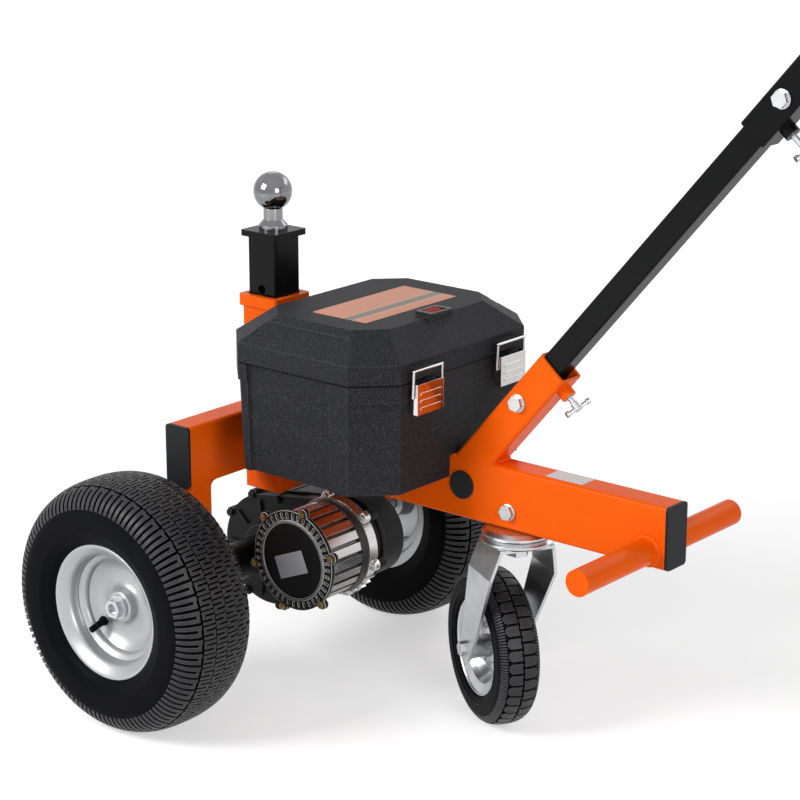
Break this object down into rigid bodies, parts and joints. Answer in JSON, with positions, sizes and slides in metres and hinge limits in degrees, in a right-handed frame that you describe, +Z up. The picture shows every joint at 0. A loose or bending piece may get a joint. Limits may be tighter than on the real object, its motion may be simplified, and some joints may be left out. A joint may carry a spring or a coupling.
{
  "type": "walk-behind electric tug",
  "caption": "Walk-behind battery tug on two drive wheels and a swivel caster, with a ball hitch post, battery box and long steering handle",
  "frame": {"origin": "on the ground under the middle of the bounding box", "axes": "+X from the hitch ball toward the operator's handle, +Y across the machine to its far side, +Z up"},
  "size_m": [1.0924, 0.649, 1.061],
  "materials": {
    "orange_paint": "glossy powder coat",
    "plug_plastic": "moulded, satin",
    "zinc": "bright zinc plate",
    "black_casting": "satin paint on a casting",
    "motor_aluminium": "ribbed extrusion, satin",
    "screw_brass": "yellow passivated",
    "bright_steel": "ground steel",
    "box_plastic": "pebble grain",
    "battery_case": "moulded",
    "black_paint": "gloss powder coat",
    "ball_chrome": "polished",
    "silver_paint": "silver paint",
    "drive_tyre": "tread rubber",
    "caster_tread": "tread rubber",
    "red_plastic": "gloss",
    "switch_plastic": "gloss",
    "grip_rubber": "soft, matt"
  },
  "bodies": {
    "frame": {"main_beam": "orange_paint", "cross_beam_near": "orange_paint", "cross_beam_far": "orange_paint", "post_sleeve": "orange_paint", "handle_receiver": "orange_paint", "foot_peg_bar": "orange_paint", "beam_end_cap": "plug_plastic", "cross_beam_plugs": "plug_plastic", "beam_hole_plugs": "plug_plastic", "axle_clamps": "zinc", "gear_housing": "black_casting", "gear_cover": "black_casting", "motor_flange": "motor_aluminium", "axle_tubes": "black_casting", "motor_shell": "motor_aluminium", "motor_end_cap": "black_casting", "motor_screws": "screw_brass", "drive_bearings": "bright_steel", "caster_stem": "zinc", "stem_bolt": "zinc", "battery_box": "box_plastic", "batteries": "battery_case", "controller": "motor_aluminium", "handle_lower": "black_paint", "receiver_bolt": "zinc", "ball_post": "black_paint", "hitch_ball": "ball_chrome"},
    "post_pin": {"post_pin": "zinc"},
    "motor_rotor": {"armature": "bright_steel"},
    "idler": {"idler_gear": "bright_steel"},
    "final_drive": {"final_gear": "bright_steel"},
    "wheel_near": {"half_shaft_near": "bright_steel", "rim_near": "silver_paint", "tyre_near": "drive_tyre", "axle_nut_near": "zinc"},
    "wheel_far": {"half_shaft_far": "bright_steel", "rim_far": "silver_paint", "tyre_far": "drive_tyre", "axle_nut_far": "zinc"},
    "caster": {"caster_fork": "zinc", "caster_axle": "zinc"},
    "caster_wheel": {"caster_rim": "zinc", "caster_tyre": "caster_tread"},
    "lid": {"box_lid": "box_plastic"},
    "main_switch": {"rocker_switch": "red_plastic"},
    "latch_near": {"latch_lever_near": "ball_chrome"},
    "latch_far": {"latch_lever_far": "ball_chrome"},
    "bail_near": {"latch_bail_near": "ball_chrome"},
    "bail_far": {"latch_bail_far": "ball_chrome"},
    "rear_levers": {"rear_latch_levers": "ball_chrome"},
    "rear_bails": {"rear_latch_bails": "ball_chrome"},
    "handle": {"handle_upper": "black_paint", "handlebar": "black_paint", "handlebar_grips": "grip_rubber", "sleeve_bolt": "zinc", "control_head": "box_plastic"},
    "receiver_clamp": {"receiver_screw": "zinc"},
    "sleeve_clamp": {"sleeve_screw": "zinc"},
    "direction": {"direction_switch": "switch_plastic"},
    "throttle": {"throttle_lever": "red_plastic"}
  },
  "joints": [
    {"name": "final_drive_spin", "type": "hinge", "parent": "frame", "child": "final_drive", "pos_m": [-0.38124, 0.028, 0.165], "axis": [0, 1, 0], "continuous": true},
    {"name": "idler_spin", "type": "hinge", "parent": "frame", "child": "idler", "pos_m": [-0.3039, 0.028, 0.18909], "axis": [0, 1, 0], "continuous": true},
    {"name": "motor_spin", "type": "hinge", "parent": "frame", "child": "motor_rotor", "pos_m": [-0.25234, -0.05, 0.20515], "axis": [0, 1, 0], "continuous": true},
    {"name": "wheel_near_spin", "type": "hinge", "parent": "frame", "child": "wheel_near", "pos_m": [-0.38124, -0.262, 0.165], "axis": [0, 1, 0], "continuous": true},
    {"name": "wheel_far_spin", "type": "hinge", "parent": "frame", "child": "wheel_far", "pos_m": [-0.38124, 0.262, 0.165], "axis": [0, 1, 0], "continuous": true},
    {"name": "caster_swivel", "type": "hinge", "parent": "frame", "child": "caster", "pos_m": [0.02676, 0, 0.268], "axis": [0, 0, 1], "continuous": true},
    {"name": "caster_wheel_spin", "type": "hinge", "parent": "caster", "child": "caster_wheel", "pos_m": [-0.03819, 0.0375, 0.102], "axis": [0.5, 0.866, 0], "continuous": true},
    {"name": "lid_lift", "type": "slide", "parent": "frame", "child": "lid", "axis": [0, 0, 1], "range_m": [0, 0.15]},
    {"name": "main_switch_tilt", "type": "hinge", "parent": "lid", "child": "main_switch", "pos_m": [-0.10724, 0, 0.532], "axis": [0, 1, 0], "range_deg": [-10, 0]},
    {"name": "latch_near_open", "type": "hinge", "parent": "frame", "child": "latch_near", "pos_m": [-0.05074, -0.082, 0.47], "axis": [0, -1, 0], "range_deg": [0, 110]},
    {"name": "bail_near_swing", "type": "hinge", "parent": "latch_near", "child": "bail_near", "pos_m": [-0.05074, -0.082, 0.46], "axis": [0, -1, 0], "range_deg": [-110, 0]},
    {"name": "latch_far_open", "type": "hinge", "parent": "frame", "child": "latch_far", "pos_m": [-0.05074, 0.082, 0.47], "axis": [0, -1, 0], "range_deg": [0, 110]},
    {"name": "bail_far_swing", "type": "hinge", "parent": "latch_far", "child": "bail_far", "pos_m": [-0.05074, 0.082, 0.46], "axis": [0, -1, 0], "range_deg": [-110, 0]},
    {"name": "rear_latches_open", "type": "hinge", "parent": "frame", "child": "rear_levers", "pos_m": [-0.33574, 0, 0.47], "axis": [0, 1, 0], "range_deg": [0, 110]},
    {"name": "rear_bails_swing", "type": "hinge", "parent": "rear_levers", "child": "rear_bails", "pos_m": [-0.33574, 0, 0.46], "axis": [0, 1, 0], "range_deg": [-110, 0]},
    {"name": "handle_extend", "type": "slide", "parent": "frame", "child": "handle", "axis": [0.6508, 0, 0.7593], "range_m": [0, 0.12]},
    {"name": "receiver_clamp_turn", "type": "hinge", "parent": "frame", "child": "receiver_clamp", "pos_m": [0.10197, 0, 0.46345], "axis": [-0.7593, 0, 0.6508], "range_deg": [0, 720]},
    {"name": "sleeve_clamp_turn", "type": "hinge", "parent": "handle", "child": "sleeve_clamp", "pos_m": [0.39482, 0, 0.80512], "axis": [-0.7593, 0, 0.6508], "range_deg": [0, 720]},
    {"name": "direction_tilt", "type": "hinge", "parent": "handle", "child": "direction", "pos_m": [0.49341, -0.024, 1.04462], "axis": [0, 1, 0], "range_deg": [-8, 8]},
    {"name": "throttle_press", "type": "hinge", "parent": "handle", "child": "throttle", "pos_m": [0.49797, 0.026, 1.04071], "axis": [0, 1, 0], "range_deg": [-18, 0], "stiffness_Nm_per_rad": 0.1, "springref_deg": 5.73},
    {"name": "post_pin_pull", "type": "slide", "parent": "frame", "child": "post_pin", "axis": [0, -1, 0], "range_m": [0, 0.11]}
  ],
  "couplings": [
    {"joint": "wheel_near_spin", "follows": "final_drive_spin", "ratio": 1},
    {"joint": "wheel_far_spin", "follows": "final_drive_spin", "ratio": 1},
    {"joint": "idler_spin", "follows": "final_drive_spin", "ratio": -4.7857},
    {"joint": "motor_spin", "follows": "final_drive_spin", "ratio": 26.539},
    {"joint": "bail_near_swing", "follows": "latch_near_open", "ratio": -1},
    {"joint": "bail_far_swing", "follows": "latch_far_open", "ratio": -1},
    {"joint": "rear_bails_swing", "follows": "rear_latches_open", "ratio": -1}
  ]
}
